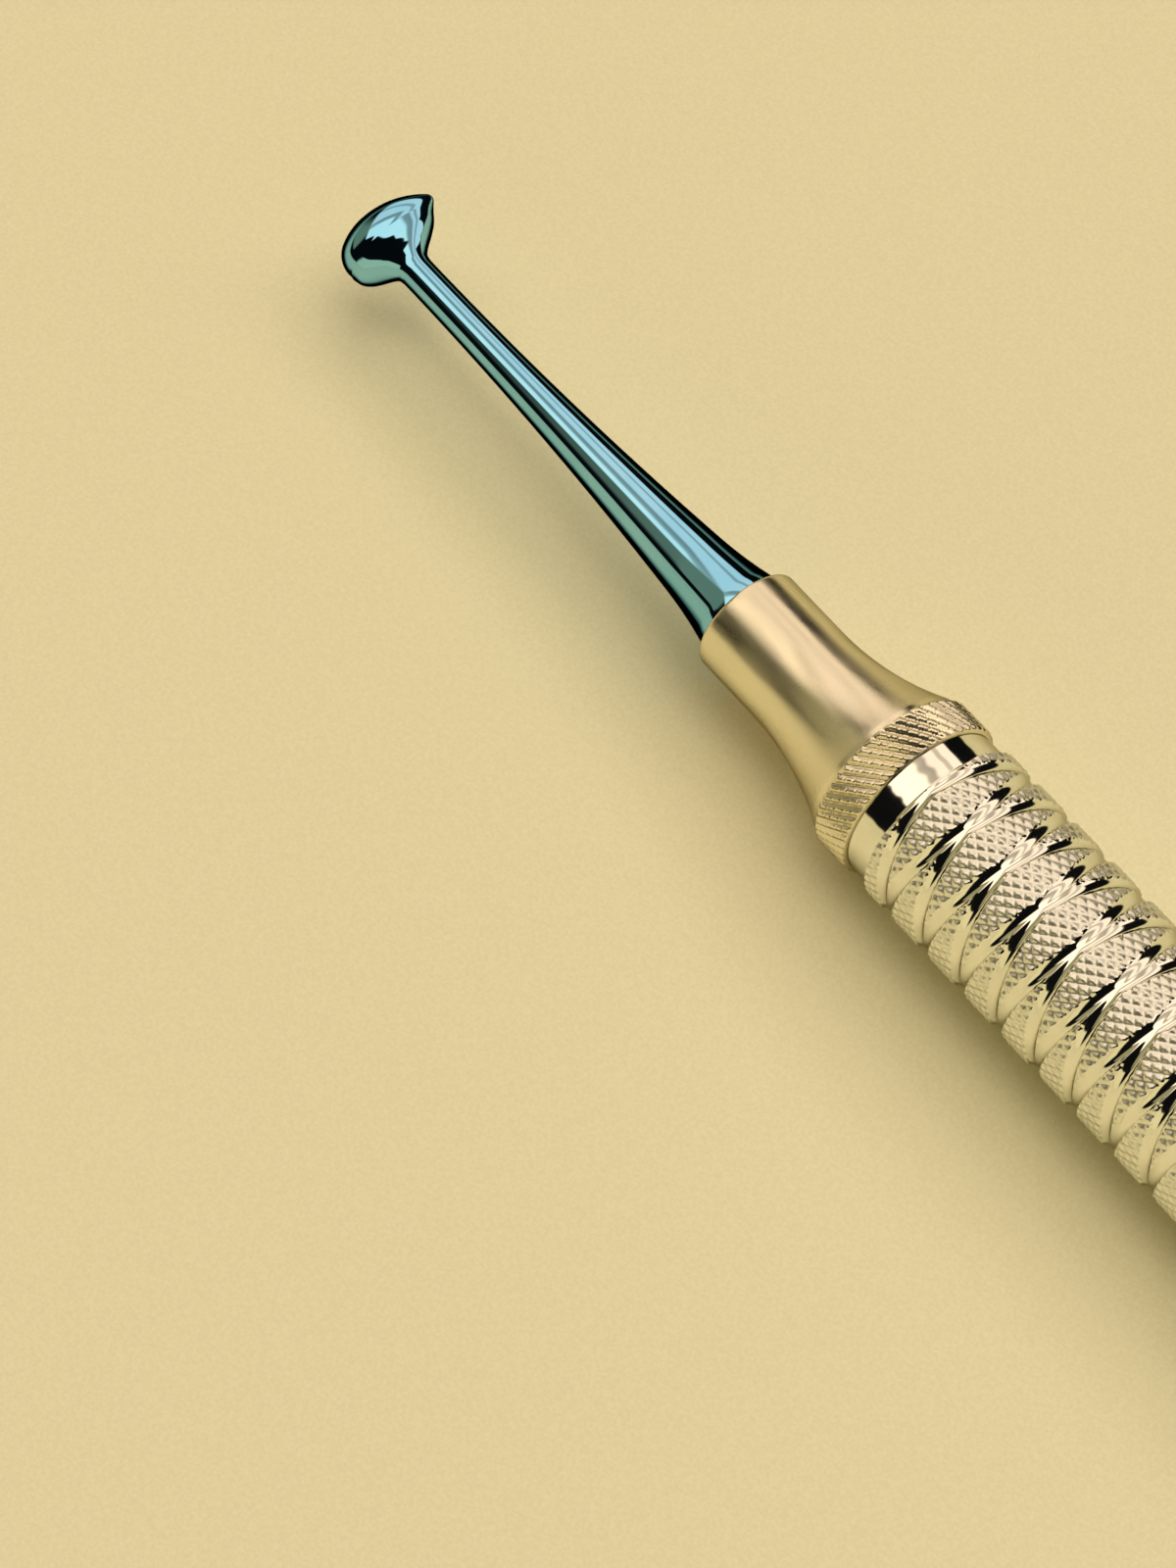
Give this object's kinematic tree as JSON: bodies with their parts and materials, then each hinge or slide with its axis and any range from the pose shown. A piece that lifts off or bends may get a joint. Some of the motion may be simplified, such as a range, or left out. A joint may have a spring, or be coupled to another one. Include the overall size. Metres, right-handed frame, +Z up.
{
  "type": "dental burnisher",
  "caption": "Single-ended dental burnisher: acorn head on a flared blue tapering shank, satin ferrule with a knurled ring, and a hollow round handle with crossing helical grip grooves",
  "frame": {"origin": "on the handle's axis, in the middle of the plain rear grip", "axes": "+X along the handle from the working end to the rear, +Z up as the instrument lies on a table, +Y to the side that the acorn's point leans to"},
  "size_m": [0.1496, 0.0094, 0.0094],
  "materials": {
    "blue_coated_steel": "polished steel with a thin hard blue coating",
    "satin_steel": "satin, with a diamond knurl round the ring",
    "polished_steel": "polished grooves and grip, finely knurled lands",
    "satin_plug_steel": "satin"
  },
  "bodies": {
    "root": {"burnisher_tip": "blue_coated_steel", "front_ferrule": "satin_steel", "handle_tube": "polished_steel", "end_plug": "satin_plug_steel"}
  },
  "joints": []
}
